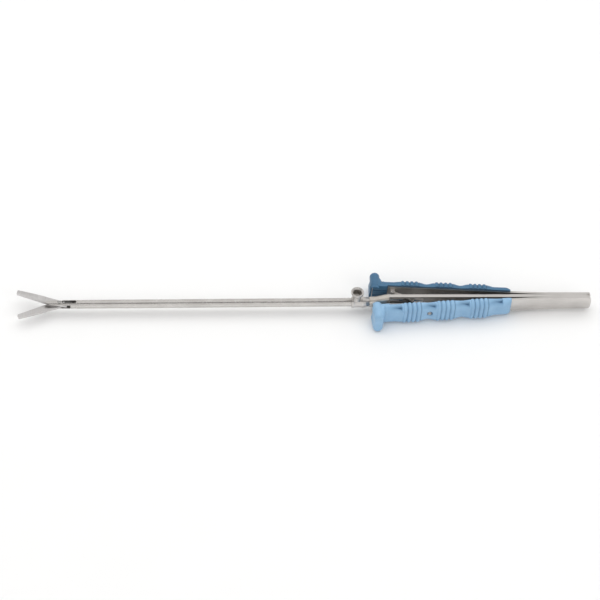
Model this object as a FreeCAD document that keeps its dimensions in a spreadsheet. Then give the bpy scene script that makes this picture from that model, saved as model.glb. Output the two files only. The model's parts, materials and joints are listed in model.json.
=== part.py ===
"""Laparoscopic scissors with a squeeze handle of two spring arms.

The origin is on the shaft axis at the front face of the port collar. +X runs back to the handle,
the blades point to -X and open in the XY plane, and every pin stands along Z. The far side is +Y.
"""
import FreeCAD, Part
import math
import os
import re

import Sketcher

DRIVING_SIZES = {
    # Shaft and its tube
    "shaft_radius": 2.5,
    "tube_wall": 0.6,
    "tube_reach": 157.5,
    "tube_seat": 5.5,
    "rod_radius": 0.8,
    "slide_gap": 0.05,
    # Jaw housing
    "housing_radius": 2.45,
    "housing_taper": 0.2,
    "pivot_lead": 10.2,
    "nose_lead": 7.9,
    "nose_start": 0.6,
    "nose_tip": 0.35,
    "spigot_length": 4.0,
    "slot_half": 1.35,
    "tail_clearance": 1.65,
    "window_half": 1.1,
    "window_front": 1.5,
    "window_margin": 0.4,
    # Blades, closed, measured from their pivot
    "blade_reach": 25.0,
    "blade_gap": 0.03,
    "root_thickness": 1.26,
    "blade_thickness": 1.72,
    "relief_margin": 0.35,
    "edge_step": 8.6,
    "edge_root": 2.3,
    "edge_tip": 1.0,
    "spine_root": 1.95,
    "spine_tip": 1.3,
    "heel_half": 1.9,
    "tail_length": 4.75,
    "blade_angle": 19.0,
    "pivot_radius": 0.8,
    "head_radius": 1.25,
    "head_height": 0.4,
    "drive_radius": 0.5,
    "drive_open": 2.6,
    "rod_travel": 1.094,
    # Rod fork
    "fork_half": 0.95,
    "fork_radius": 1.9,
    "fork_tine": 0.52,
    "fork_depth": 2.6,
    "fork_base": 2.0,
    # Port collar, flush port and taper nut
    "collar_radius": 3.2,
    "collar_length": 7.4,
    "collar_chamfer": 0.5,
    "seat_depth": 0.4,
    "port_place": 2.8,
    "port_height": 9.3,
    "port_bore": 2.1,
    "port_depth": 4.6,
    "port_passage": 1.1,
    "port_root": 2.6,
    "port_mouth": 2.75,
    "port_rim": 3.75,
    "rim_height": 1.2,
    "nut_length": 2.9,
    "nut_end": 2.65,
    "seal_section": 0.55,
    # Front block and centre bar
    "block_end": 21.4,
    "block_half": 2.5,
    "block_round": 1.8,
    "bar_thickness": 2.1,
    "width_front": 10.8,
    "width_rear": 9.0,
    "end_round": 3.0,
    "window_start": 22.0,
    "window_end": 41.5,
    "bar_window": 4.0,
    # Arms
    "leaf_thickness": 1.2,
    "arm_front": 12.4,
    "weld_length": 29.0,
    "arm_angle": 3.6,
    "arm_length": 97.6,
    "bend_gap": 0.06,
    # Crosshead, links and lugs
    "link_length": 12.0,
    "link_inset": 11.6,
    "link_offset": 1.95,
    "link_height": 1.1,
    "link_thickness": 1.4,
    "link_eye": 1.2,
    "link_waist": 0.95,
    "link_pin": 0.6,
    "open_gap": 0.16,
    "lug_thickness": 1.0,
    "tongue_half": 1.0,
    "tongue_length": 5.0,
    "cross_pin": 0.7,
    "cross_head": 1.05,
    # Grips, measured along the arm from the front of the guard
    "grip_length": 81.0,
    "grip_half": 6.45,
    "grip_depth": 3.6,
    "grip_hollow": 0.8,
    "grip_round": 2.7,
    "grip_lip": 0.7,
    "guard_reach": 8.9,
    "guard_half": 7.0,
    "guard_bulb": 3.1,
    "guard_stem": 4.6,
    "guard_wall": 1.3,
    "group_place": 23.3,
    "group_spacing": 19.6,
    "rib_pitch": 2.66,
    "rib_width": 1.4,
    "rib_rise": 0.45,
    "screw_radius": 1.15,
    "screw_boss": 2.0,
}
RIB_GROUPS = 3
RIBS_PER_GROUP = 4
SIDES = ("far", "near")

ORIGIN = FreeCAD.Vector(0, 0, 0)
UP = FreeCAD.Vector(0, 0, 1)
BACK = FreeCAD.Vector(1, 0, 0)
TURNS = {
    "X": FreeCAD.Rotation(FreeCAD.Vector(0, 1, 0), 90),
    "Y": FreeCAD.Rotation(FreeCAD.Vector(1, 0, 0), -90),
    "Z": FreeCAD.Rotation(),
}
HALF_TURN = FreeCAD.Placement(ORIGIN, FreeCAD.Rotation(BACK, 180))

doc = FreeCAD.newDocument("laparoscopic_scissors")
sheet = doc.addObject("Spreadsheet::Sheet", "sizes")
for row, (alias, value) in enumerate(DRIVING_SIZES.items(), 1):
    sheet.set(f"A{row}", alias)
    sheet.set(f"B{row}", str(value))
    sheet.setAlias(f"B{row}", alias)
doc.recompute()

nodes = []


def formula(text):
    """Point each size named in a formula at the sheet."""
    return re.sub(r"[a-z]+(_[a-z]+)+", r"sizes.\g<0>", str(text))


def number(text):
    """Work a formula out as a plain number."""
    return float(sheet.evalExpression(formula(text)))


def bind(obj, **formulas):
    """Tie properties of an object to formulas over the sheet."""
    for name, text in formulas.items():
        obj.setExpression(name, formula(text))
    return obj


def put(obj, along, x, y, z):
    """Turn a primitive along an axis and tie its place to formulas."""
    obj.Placement = FreeCAD.Placement(ORIGIN, TURNS[along])
    for axis, text in (("x", x), ("y", y), ("z", z)):
        obj.setExpression("Placement.Base." + axis, formula(text))
    return obj


def cylinder(radius, length, x="0", y="0", z="0", along="X"):
    obj = doc.addObject("Part::Cylinder", "cylinder")
    return put(bind(obj, Radius=radius, Height=length), along, x, y, z)


def cone(start_radius, end_radius, length, x="0", y="0", z="0", along="X"):
    obj = doc.addObject("Part::Cone", "cone")
    bind(obj, Radius1=start_radius, Radius2=end_radius, Height=length)
    return put(obj, along, x, y, z)


def block(length, width, height, x, y, z):
    """A box from its lowest corner."""
    obj = doc.addObject("Part::Box", "box")
    return put(bind(obj, Length=length, Width=width, Height=height), "Z", x, y, z)


def plate(x_start, x_end, half_width, half_height):
    """A box that is centred on the shaft axis, from one X to another."""
    return block(
        f"{x_end} - ({x_start})", f"2 * ({half_width})", f"2 * ({half_height})",
        x_start, f"-({half_width})", f"-({half_height})",
    )


def fuse(*shapes):
    obj = doc.addObject("Part::MultiFuse", "fuse")
    obj.Shapes = list(shapes)
    return obj


def common(*shapes):
    obj = doc.addObject("Part::MultiCommon", "common")
    obj.Shapes = list(shapes)
    return obj


def cut(base, *tools):
    obj = doc.addObject("Part::Cut", "cut")
    obj.Base = base
    obj.Tool = tools[0] if len(tools) == 1 else fuse(*tools)
    return obj


def computed(shape):
    """A feature whose shape is worked out from the sheet's values."""
    obj = doc.addObject("Part::Feature", "form")
    obj.Shape = shape
    return obj


def draw(sketch, corners):
    """Draw a closed outline with each corner tied to two formulas."""
    first = sketch.GeometryCount
    count = len(corners)
    points = [FreeCAD.Vector(number(x), number(y), 0) for x, y in corners]
    for index in range(count):
        sketch.addGeometry(Part.LineSegment(points[index], points[(index + 1) % count]), False)
    for index in range(count):
        after = first + (index + 1) % count
        sketch.addConstraint(Sketcher.Constraint("Coincident", first + index, 2, after, 1))
    for index, corner in enumerate(corners):
        for kind, text in zip(("DistanceX", "DistanceY"), corner):
            rule = Sketcher.Constraint(kind, -1, 1, first + index, 1, number(text))
            place = sketch.addConstraint(rule)
            sketch.setExpression(f"Constraints[{place}]", formula(text))


def padded(name, role, outlines, start, depth):
    """A body padded from outlines on one of its own planes."""
    body = doc.addObject("PartDesign::Body", name)
    sketch = body.newObject("Sketcher::SketchObject", name + "_outline")
    plane = next(item for item in body.Origin.OriginFeatures if item.Role == role)
    sketch.AttachmentSupport = [(plane, "")]
    sketch.MapMode = "FlatFace"
    sketch.setExpression("AttachmentOffset.Base.z", formula(start))
    for corners in outlines:
        draw(sketch, corners)
    pad = body.newObject("PartDesign::Pad", name + "_pad")
    pad.Profile = sketch
    bind(pad, Length=depth)
    doc.recompute()
    return body


def round_edges(body, radius, chosen):
    """Round the edges of a body that a test on an edge's middle and direction picks."""
    tip = body.Tip
    names = []
    for index, edge in enumerate(tip.Shape.Edges, 1):
        run = edge.valueAt(edge.LastParameter) - edge.valueAt(edge.FirstParameter)
        middle = edge.valueAt((edge.FirstParameter + edge.LastParameter) / 2)
        if chosen(middle, run):
            names.append(f"Edge{index}")
    fillet = body.newObject("PartDesign::Fillet", body.Name + "_round")
    fillet.Base = (tip, names)
    bind(fillet, Radius=radius)
    doc.recompute()
    return body


def node(name, obj, placement=None):
    """Name a finished sub-part and give it its place."""
    if placement is not None and obj.TypeId == "Part::Cylinder":
        holder = doc.addObject("Part::Compound", "holder")
        holder.Links = [obj]
        obj = holder
    obj.Label = name
    if placement is not None:
        obj.Placement = placement
    nodes.append(obj)
    return obj


def on_side(side, x, y, angle):
    """A place on the far side, or its half-turned copy on the near side."""
    place = FreeCAD.Placement(FreeCAD.Vector(x, y, 0), FreeCAD.Rotation(UP, angle))
    return place if side == "far" else HALF_TURN * place


# Places that several pieces share
TUBE_BORE = "(shaft_radius - tube_wall)"
SEAT_RADIUS = "(shaft_radius - tube_wall * 0.6)"
PIVOT = "(-tube_reach - pivot_lead)"
NOSE_END = f"({PIVOT} - nose_lead)"
WINDOW_START = f"({PIVOT} + window_front)"
WINDOW_END = "(-tube_reach - window_margin)"
DRIVE_PLACE = f"({PIVOT} + drive_open)"
LINK_PLACE = "(arm_length - link_inset)"
HINGE_PLACE = "(arm_front + arm_length)"
HANDLE_END = f"({HINGE_PLACE} + weld_length)"
LEAF_PLACE = number("(bar_thickness + leaf_thickness) / 2")
ARM_TURN = math.radians(number("arm_angle"))
LINK_PIN_X = (
    number(HINGE_PLACE)
    - number(LINK_PLACE) * math.cos(ARM_TURN)
    - number("link_offset") * math.sin(ARM_TURN)
)
LINK_PIN_Y = (
    LEAF_PLACE
    + number(LINK_PLACE) * math.sin(ARM_TURN)
    - number("link_offset") * math.cos(ARM_TURN)
)
LINK_TURN = math.asin(LINK_PIN_Y / number("link_length"))
CROSS_PLACE = LINK_PIN_X + number("link_length") * math.cos(LINK_TURN)


def arm_place(side):
    """The arm's own frame: its bend at the origin, its tip to -X, its outer side to +Y."""
    return on_side(side, number(HINGE_PLACE), LEAF_PLACE, -number("arm_angle"))


# Tube and jaw housing
def make_tube():
    barrel = cylinder("shaft_radius", "tube_reach", x="-tube_reach")
    seat = cylinder(SEAT_RADIUS, "tube_seat + 1", x="-1")
    bore = cylinder(TUBE_BORE, "tube_reach + tube_seat + 2", x="-tube_reach - 1")
    vent = cylinder("port_passage", "shaft_radius * 2", x="port_place", along="Z")
    node("outer_tube", cut(fuse(barrel, seat), bore, vent))


def make_housing():
    run = "(nose_lead - nose_start)"
    drop = "(housing_radius - nose_tip)"
    bow = f"(({run} * {run} + {drop} * {drop}) / (2 * {drop}))"
    barrel = cone("housing_radius - housing_taper", "housing_radius", f"-tube_reach - {NOSE_END}",
                  x=NOSE_END)
    sides = []
    for sign in ("", "-"):
        sides.append(cylinder(bow, "shaft_radius * 4", x=f"{PIVOT} - nose_start",
                              y=f"{sign}({bow} - housing_radius)", z="-shaft_radius * 2", along="Z"))
    ogive = common(*sides)
    rear = plate(f"{PIVOT} - nose_start", "-tube_reach + 1", "shaft_radius * 2", "shaft_radius * 2")
    spigot = cylinder(TUBE_BORE, "spigot_length + 1", x="-tube_reach - 1")
    slot = plate(f"{NOSE_END} - 1", f"{PIVOT} + tail_length + tail_clearance", "shaft_radius * 2",
                 "slot_half")
    window = fuse(
        cylinder("window_half", "shaft_radius * 4", x=f"{WINDOW_START} + window_half",
                 z="-shaft_radius * 2", along="Z"),
        plate(f"{WINDOW_START} + window_half", f"{WINDOW_END} - window_half", "window_half",
              "shaft_radius * 2"),
        cylinder("window_half", "shaft_radius * 4", x=f"{WINDOW_END} - window_half",
                 z="-shaft_radius * 2", along="Z"),
    )
    bore = cylinder("rod_radius + slide_gap * 2", "spigot_length + 8", x=f"{WINDOW_END} - 4")
    pivot_hole = cylinder("pivot_radius", "shaft_radius * 4", x=PIVOT, z="-shaft_radius * 2",
                          along="Z")
    head_seat = cylinder("head_radius", "shaft_radius", x=PIVOT, z="housing_radius - head_height",
                         along="Z")
    body = fuse(common(barrel, fuse(ogive, rear)), spigot)
    node("jaw_housing", cut(body, slot, window, bore, pivot_hole, head_seat))


def make_pivot_screw():
    seat = "housing_radius - head_height"
    shank = cylinder("pivot_radius", "housing_radius * 2 - head_height - 0.1", x=PIVOT,
                     z="-housing_radius + 0.1", along="Z")
    head = cylinder("head_radius", "head_height - 0.1", x=PIVOT, z=seat, along="Z")
    driver_slot = block("head_radius * 3", "0.3", "head_height", f"{PIVOT} - head_radius * 1.5",
                        "-0.15", f"{seat} + head_height / 2 - 0.1")
    flush = cylinder("housing_radius - slide_gap", "housing_radius * 4",
                     x=f"{PIVOT} - housing_radius * 2")
    node("blade_pivot_screw", cut(common(fuse(shank, head), flush), driver_slot))


# Blades
def cam_slot():
    """The curved slot that keeps the drive pin on the shaft axis while the blade turns."""
    half = number("drive_radius + slide_gap")
    closed = number("drive_open + rod_travel")
    travel = number("rod_travel")
    full = math.radians(number("blade_angle"))

    def centre(share):
        reach = closed - travel * share
        return FreeCAD.Vector(reach * math.cos(full * share), reach * math.sin(full * share), 0)

    def across(share):
        run = centre(share + 0.01) - centre(share - 0.01)
        run.normalize()
        return run, FreeCAD.Vector(-run.y, run.x, 0)

    sides = []
    for sign in (1, -1):
        points = [centre(share) + across(share)[1] * (sign * half) for share in (0, 0.5, 1)]
        sides.append(points)
    low_end = centre(0) - across(0)[0] * half
    high_end = centre(1) + across(1)[0] * half
    edges = [
        Part.Arc(*sides[0]).toShape(),
        Part.Arc(sides[0][2], high_end, sides[1][2]).toShape(),
        Part.Arc(*reversed(sides[1])).toShape(),
        Part.Arc(sides[1][0], low_end, sides[0][0]).toShape(),
    ]
    face = Part.Face(Part.Wire(edges))
    return computed(face.extrude(UP * number("blade_thickness + 2"))).Name


def make_blade(side):
    name = "upper_blade" if side == "far" else "lower_blade"
    outline = [
        ("-blade_reach", "spine_tip - 0.25"),
        ("-blade_reach + 0.3", "spine_tip"),
        ("-edge_step", "spine_root"),
        ("-heel_half / 2", "heel_half"),
        ("tail_length - 1.8", "heel_half"),
        ("tail_length", "heel_half / 2"),
        ("tail_length", "-heel_half / 2"),
        ("heel_half", "-heel_half * 0.7"),
        ("-heel_half", "-edge_root"),
        ("-edge_step", "-edge_root"),
        ("-blade_reach + 0.2", "-edge_tip"),
        ("-blade_reach", "-edge_tip + 0.25"),
    ]
    body = padded(name + "_blank", "XY_Plane", [outline], "blade_gap", "blade_thickness")
    envelope = cylinder("shaft_radius - slide_gap", "blade_reach + tail_length + 2",
                        x="-blade_reach - 1")
    root_relief = fuse(
        cylinder("nose_lead + relief_margin", "blade_thickness * 2", z="root_thickness", along="Z"),
        block("nose_lead * 3", "shaft_radius * 4", "blade_thickness * 2", "0",
              "-shaft_radius * 2", "root_thickness"),
    )
    pivot_hole = cylinder("pivot_radius + slide_gap / 2", "blade_thickness * 4",
                          z="-blade_thickness", along="Z")
    slot = doc.getObject(cam_slot())
    slot.Placement = FreeCAD.Placement(FreeCAD.Vector(0, 0, -0.5), FreeCAD.Rotation())
    blade = cut(common(body, envelope), root_relief, pivot_hole, slot)
    node(name, blade, on_side(side, number(PIVOT), 0, -number("blade_angle")))


# Push rod with its fork and drive pin
FORK_BACK = f"({DRIVE_PLACE} + fork_depth + fork_base)"


def make_push_rod():
    rod = cylinder("rod_radius", f"({CROSS_PLACE} - tongue_length + 2) - {FORK_BACK}", x=FORK_BACK)
    node("push_rod", rod)


def make_rod_fork():
    bar = common(
        plate(f"{DRIVE_PLACE} - fork_half", FORK_BACK, "fork_half", "fork_radius"),
        cylinder("fork_radius", "fork_depth + fork_base + 4", x=f"{DRIVE_PLACE} - 2"),
    )
    nose = fuse(
        cylinder("fork_half", "fork_radius * 2", x=DRIVE_PLACE, z="-fork_radius", along="Z"),
        plate(DRIVE_PLACE, FORK_BACK, "fork_half", "fork_radius"),
    )
    slot = plate(f"{DRIVE_PLACE} - 2", f"{DRIVE_PLACE} + fork_depth", "fork_half * 2",
                 "fork_radius - fork_tine")
    pin_hole = cylinder("drive_radius", "fork_radius * 4", x=DRIVE_PLACE, z="-fork_radius * 2",
                        along="Z")
    node("rod_fork", cut(common(bar, nose), slot, pin_hole))


def make_drive_pin():
    pin = cylinder("drive_radius", "fork_radius * 2", x=DRIVE_PLACE, z="-fork_radius", along="Z")
    node("drive_pin", pin)


# Collar, flush port, taper nut and seal
def make_collar():
    front = cone("collar_radius - collar_chamfer", "collar_radius", "collar_chamfer")
    barrel = cylinder("collar_radius", "collar_length - collar_chamfer", x="collar_chamfer")
    tube_seat = cylinder(SEAT_RADIUS, "tube_seat + 1", x="-1")
    rod_hole = cylinder("rod_radius + slide_gap", "collar_length + 2", x="-1")
    passage = cylinder("port_passage", "collar_radius * 2", x="port_place", along="Z")
    port_seat = cylinder("port_root", "collar_radius * 2", x="port_place",
                         z="collar_radius - seat_depth", along="Z")
    body = cut(fuse(front, barrel), tube_seat, rod_hole, passage, port_seat)
    node("port_collar", body)


def make_flush_port():
    seat = "collar_radius - seat_depth"
    foot = cylinder("port_root", "seat_depth", x="port_place", z=seat, along="Z")
    stem = cone("port_root", "port_mouth", "port_height - collar_radius", x="port_place",
                z="collar_radius", along="Z")
    rim = cylinder("port_rim", "rim_height", x="port_place", z="port_height - rim_height",
                   along="Z")
    socket = cylinder("port_bore", "port_depth + 1", x="port_place", z="port_height - port_depth",
                      along="Z")
    passage = cylinder("port_passage", "port_height", x="port_place", along="Z")
    node("flush_port", cut(fuse(foot, stem, rim), socket, passage))


def make_taper_nut():
    body = cone("collar_radius - 0.15", "nut_end", "nut_length", x="collar_length")
    rod_hole = cylinder("rod_radius + slide_gap", "nut_length + 2", x="collar_length - 1")
    seal_seat = cylinder("rod_radius + slide_gap + seal_section * 2", "seal_section * 2 + 1",
                         x="collar_length - 1")
    node("taper_nut", cut(body, rod_hole, seal_seat))


def make_rod_seal():
    ring = cylinder("rod_radius + slide_gap + seal_section * 2 - 0.02", "seal_section * 2",
                    x="collar_length")
    hole = cylinder("rod_radius + slide_gap", "seal_section * 4", x="collar_length - 0.5")
    node("rod_seal", cut(ring, hole))


# Front block and centre bar
def make_front_block():
    outline = [
        ("collar_length + nut_length", "-nut_end"),
        ("block_end", "-width_front / 2"),
        ("block_end", "width_front / 2"),
        ("collar_length + nut_length", "nut_end"),
    ]
    body = padded("front_block_body", "XZ_Plane", [outline], "-block_half", "block_half * 2")
    round_edges(body, "block_round", lambda middle, run: abs(run.x) > 5)
    bore = cylinder("rod_radius + slide_gap", "block_end", x="collar_length")
    node("front_block", cut(body, bore))


def taper_half(place):
    """Half the width of the handle's plates at a formula for a place along X."""
    share = f"(({place}) - block_end) / ({HANDLE_END} - block_end)"
    return f"(width_front - (width_front - width_rear) * {share}) / 2"


def make_centre_bar():
    outline = [
        ("block_end", "-width_front / 2"),
        (HANDLE_END, "-width_rear / 2"),
        (HANDLE_END, "width_rear / 2"),
        ("block_end", "width_front / 2"),
    ]
    window = [
        ("window_start", "-bar_window"),
        ("window_end", "-bar_window"),
        ("window_end", "bar_window"),
        ("window_start", "bar_window"),
    ]
    body = padded("centre_bar_body", "XZ_Plane", [outline, window], "-bar_thickness / 2",
                  "bar_thickness")
    rear = number(HANDLE_END)
    round_edges(body, "end_round", lambda middle, run: abs(run.y) > 0.5 and middle.x > rear - 0.5)
    bore = cylinder("rod_radius + slide_gap", "3", x="block_end - 1")
    node("centre_bar", cut(body, bore))


# Arms
def make_arm(side):
    tip = "-arm_length"
    front_half = taper_half("arm_front")
    rear_half = taper_half(HINGE_PLACE)
    outline = [
        (tip, f"-({front_half})"),
        ("-bend_gap", f"-({rear_half})"),
        ("-bend_gap", rear_half),
        (tip, front_half),
    ]
    body = padded(side + "_arm_body", "XZ_Plane", [outline], "-leaf_thickness / 2", "leaf_thickness")
    front = -number("arm_length")
    round_edges(body, "end_round / 2", lambda middle, run: abs(run.y) > 0.5 and middle.x < front + 0.5)
    hole = cylinder("screw_radius * 0.6", "leaf_thickness * 4", x=SCREW_X, y="-leaf_thickness * 2",
                    along="Y")
    node(side + "_arm", cut(body, hole), arm_place(side))


def make_arm_root(side):
    start_half = taper_half(HINGE_PLACE)
    outline = [
        ("0", f"-({start_half})"),
        ("weld_length", "-width_rear / 2"),
        ("weld_length", "width_rear / 2"),
        ("0", start_half),
    ]
    body = padded(side + "_root_body", "XZ_Plane", [outline], "-leaf_thickness / 2",
                  "leaf_thickness")
    rear = number("weld_length")
    round_edges(body, "end_round", lambda middle, run: abs(run.y) > 0.5 and middle.x > rear - 0.5)
    node(side + "_arm_root", body, on_side(side, number(HINGE_PLACE), LEAF_PLACE, 0))


# Crosshead, links and lugs
def make_crosshead():
    front = f"{CROSS_PLACE} - tongue_length"
    tongue = fuse(
        plate(front, CROSS_PLACE, "tongue_half", "tongue_half"),
        cylinder("tongue_half + 0.4", "tongue_half * 2", x=CROSS_PLACE, z="-tongue_half", along="Z"),
    )
    pin_hole = cylinder("cross_pin", "tongue_half * 4", x=CROSS_PLACE, z="-tongue_half * 2",
                        along="Z")
    rod_hole = cylinder("rod_radius", "3", x=f"{front} - 1")
    node("crosshead", cut(tongue, pin_hole, rod_hole))


def make_crosshead_pin():
    top = "link_height + link_thickness + slide_gap"
    pin = fuse(
        cylinder("cross_pin", f"2 * ({top}) + 0.2", x=CROSS_PLACE, z=f"-({top}) - 0.1", along="Z"),
        cylinder("cross_head", "0.4", x=CROSS_PLACE, z=top, along="Z"),
        cylinder("cross_head", "0.4", x=CROSS_PLACE, z=f"-({top}) - 0.4", along="Z"),
    )
    node("crosshead_pin", pin)


def make_link(side):
    cross_eye = cylinder("link_eye", "link_thickness", z="link_height", along="Z")
    arm_eye = cylinder("link_eye", "link_thickness", x="-link_length", z="link_height", along="Z")
    web = block("link_length", "link_waist * 2", "link_thickness", "-link_length", "-link_waist",
                "link_height")
    cross_hole = cylinder("cross_pin + slide_gap", "link_thickness * 4", along="Z")
    arm_hole = cylinder("link_pin + open_gap", "link_thickness * 4", x="-link_length", along="Z")
    link = cut(fuse(cross_eye, web, arm_eye), cross_hole, arm_hole)
    node(side + "_link", link, on_side(side, CROSS_PLACE, 0, -math.degrees(LINK_TURN)))


LUG_BOTTOM = "link_height + link_thickness + slide_gap * 2"


def make_lug(side):
    eye = cylinder("link_eye", "lug_thickness", x=f"-{LINK_PLACE}", y="-link_offset", z=LUG_BOTTOM,
                   along="Z")
    foot = block("link_eye * 2", "link_offset - leaf_thickness / 2", "lug_thickness",
                 f"-{LINK_PLACE} - link_eye", "-link_offset", LUG_BOTTOM)
    hole = cylinder("link_pin", "lug_thickness * 8", x=f"-{LINK_PLACE}", y="-link_offset", along="Z")
    node(side + "_lug", cut(fuse(eye, foot), hole), arm_place(side))


def make_link_pin(side):
    length = "link_thickness + lug_thickness + slide_gap * 2 + 0.3"
    pin = cylinder("link_pin", length, x=f"-{LINK_PLACE}", y="-link_offset", z="link_height", along="Z")
    node(side + "_link_pin", pin, arm_place(side))


# Grips
GRIP_FRONT = "(-arm_length - guard_wall)"
SCREW_X = f"({GRIP_FRONT} + group_place + group_spacing / 2)"


def rounded_section(x, growth, length):
    """A length of the grip's section, square towards the centre bar and rounded outwards."""
    half = number("grip_half") + growth
    low = number("leaf_thickness / 2 - grip_lip")
    top = number("leaf_thickness / 2 + grip_depth") + growth
    radius = number("grip_round") + growth
    slant = radius * (1 - math.sqrt(0.5))
    corners = [(low, -half), (top - radius, -half), (top - slant, slant - half), (top, radius - half),
               (top, half - radius), (top - slant, half - slant), (top - radius, half), (low, half)]
    points = [FreeCAD.Vector(x, y, z) for y, z in corners]
    section = Part.Wire([
        Part.LineSegment(points[0], points[1]).toShape(),
        Part.Arc(points[1], points[2], points[3]).toShape(),
        Part.LineSegment(points[3], points[4]).toShape(),
        Part.Arc(points[4], points[5], points[6]).toShape(),
        Part.LineSegment(points[6], points[7]).toShape(),
        Part.LineSegment(points[7], points[0]).toShape(),
    ])
    return Part.Face(section).extrude(BACK * length)


def grip_waves(middles):
    """The grip seen along its pins: flat under each rib group and hollow between the groups."""
    low = number("leaf_thickness / 2 - grip_lip")
    crest = number("leaf_thickness / 2 + grip_depth")
    hollow = crest - number("grip_hollow")
    start = number(f"{GRIP_FRONT} + guard_bulb")
    rear = number(f"{GRIP_FRONT} + grip_length")
    half_group = number("rib_pitch") * RIBS_PER_GROUP / 2
    edges = []
    place = FreeCAD.Vector(start, crest, 0)
    for middle in middles:
        group_start = FreeCAD.Vector(middle - half_group, crest, 0)
        bow = FreeCAD.Vector((place.x + group_start.x) / 2, hollow, 0)
        edges.append(Part.Arc(place, bow, group_start).toShape())
        place = FreeCAD.Vector(middle + half_group, crest, 0)
        edges.append(Part.LineSegment(group_start, place).toShape())
    end = FreeCAD.Vector(rear, hollow - 1, 0)
    bow = FreeCAD.Vector((place.x + rear) / 2, hollow, 0)
    edges.append(Part.Arc(place, bow, end).toShape())
    low_end = FreeCAD.Vector(rear, low, 0)
    low_start = FreeCAD.Vector(start, low, 0)
    edges.append(Part.LineSegment(end, low_end).toShape())
    edges.append(Part.LineSegment(low_end, low_start).toShape())
    edges.append(Part.LineSegment(low_start, FreeCAD.Vector(start, crest, 0)).toShape())
    face = Part.Face(Part.Wire(edges))
    face.translate(UP * -number("grip_half * 2"))
    return face.extrude(UP * number("grip_half * 4"))


def guard_shape():
    """The finger guard: a stem across the grip's front with a round bulb at each end, and a web."""
    low = number("leaf_thickness / 2 - grip_lip")
    top = number("leaf_thickness / 2 + guard_reach")
    crest = number("leaf_thickness / 2 + grip_depth")
    radius = number("guard_bulb")
    stem = number("guard_stem / 2")
    middle = number(f"{GRIP_FRONT} + guard_bulb")
    reach = number("guard_half - guard_bulb")
    out = FreeCAD.Vector(0, 1, 0)
    pieces = []
    for sign in (1, -1):
        foot = FreeCAD.Vector(middle, low, sign * reach)
        shoulder = FreeCAD.Vector(middle, top - 1.1, sign * reach)
        pieces.append(Part.makeCylinder(radius, top - 1.1 - low, foot, out))
        pieces.append(Part.makeCone(radius, radius - 0.9, 1.1, shoulder, out))
    corner = FreeCAD.Vector(middle - stem, low, -reach)
    pieces.append(Part.makeBox(stem * 2, top - 0.5 - low, reach * 2, corner))
    corners = [(middle, low), (middle, top - 1.6), (middle + stem, top - 1.6),
               (middle + stem + 3.2, crest - 0.6), (middle + stem + 3.2, low)]
    points = [FreeCAD.Vector(x, y, -reach) for x, y in corners]
    web = Part.Face(Part.makePolygon(points + [points[0]]))
    pieces.append(web.extrude(UP * reach * 2))
    return pieces


def make_grip(side):
    front = number(GRIP_FRONT)
    crest = number("leaf_thickness / 2 + grip_depth")
    middles = [front + number("group_place") + group * number("group_spacing")
               for group in range(RIB_GROUPS)]
    body = grip_waves(middles).common(rounded_section(front, 0, number("grip_length + 1")))
    rings = []
    for middle in middles:
        for rib in range(RIBS_PER_GROUP):
            place = middle + (rib - (RIBS_PER_GROUP - 1) / 2) * number("rib_pitch")
            rings.append(rounded_section(place - number("rib_width / 2"), number("rib_rise"),
                                         number("rib_width")))
    shell = body.fuse(rings + guard_shape()).removeSplitter()
    leaf_half = number("leaf_thickness / 2")
    pocket_half = number(taper_half("arm_front")) + 0.1
    pocket = Part.makeBox(number("grip_length"), leaf_half * 2, pocket_half * 2,
                          FreeCAD.Vector(-number("arm_length"), -leaf_half, -pocket_half))
    under = Part.makeBox(number("grip_length * 1.2"), 5, pocket_half * 2,
                         FreeCAD.Vector(front - 1, -leaf_half - 5, -pocket_half))
    scoops = []
    for middle in middles + [middles[-1] + number("group_spacing")]:
        end = middle - number("rib_pitch") * RIBS_PER_GROUP / 2 - 0.3
        for sign in (1, -1):
            apex = FreeCAD.Vector(end - 7, crest - 0.1, sign * number("grip_half"))
            scoops.append(Part.makeCone(0.2, 1.8, 7, apex, BACK))
    screw_x = number(SCREW_X)
    screw_hole = Part.makeCylinder(number("screw_radius"), 10, FreeCAD.Vector(screw_x, 0, 0),
                                   FreeCAD.Vector(0, 1, 0))
    boss_floor = crest - number("grip_hollow") - 0.4
    sink = Part.makeCylinder(number("screw_boss"), 10, FreeCAD.Vector(screw_x, boss_floor, 0),
                             FreeCAD.Vector(0, 1, 0))
    shell = shell.cut([pocket, under, screw_hole, sink] + scoops)
    node(side + "_grip", computed(shell), arm_place(side))


def make_grip_screw(side):
    """A screw that clamps the grip on its arm; its head lies in the grip's seat."""
    floor = "leaf_thickness / 2 + grip_depth - grip_hollow - 0.4"
    head = cylinder("screw_radius", f"({floor}) - leaf_thickness / 2 + 0.3", x=SCREW_X,
                    y="leaf_thickness / 2", along="Y")
    shank = cylinder("screw_radius * 0.6", "leaf_thickness", x=SCREW_X, y="-leaf_thickness / 2",
                     along="Y")
    driver_slot = block("screw_radius * 3", "1", "0.35", f"{SCREW_X} - screw_radius * 1.5",
                        f"{floor}", "-0.175")
    node(side + "_grip_screw", cut(fuse(head, shank), driver_slot), arm_place(side))


make_tube()
make_housing()
make_pivot_screw()
make_push_rod()
make_rod_fork()
make_drive_pin()
make_collar()
make_flush_port()
make_taper_nut()
make_rod_seal()
make_front_block()
make_centre_bar()
make_crosshead()
make_crosshead_pin()
for side in SIDES:
    make_blade(side)
    make_arm(side)
    make_arm_root(side)
    make_link(side)
    make_lug(side)
    make_link_pin(side)
    make_grip(side)
    make_grip_screw(side)
doc.recompute()

for obj in doc.Objects:
    if "Invalid" in obj.State or "Error" in obj.State:
        raise RuntimeError(f"{obj.Name} failed: {obj.getStatusString()}")
for obj in nodes:
    if obj.Shape.isNull() or not obj.Shape.isValid():
        raise RuntimeError(f"{obj.Label} has no valid shape")

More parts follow.
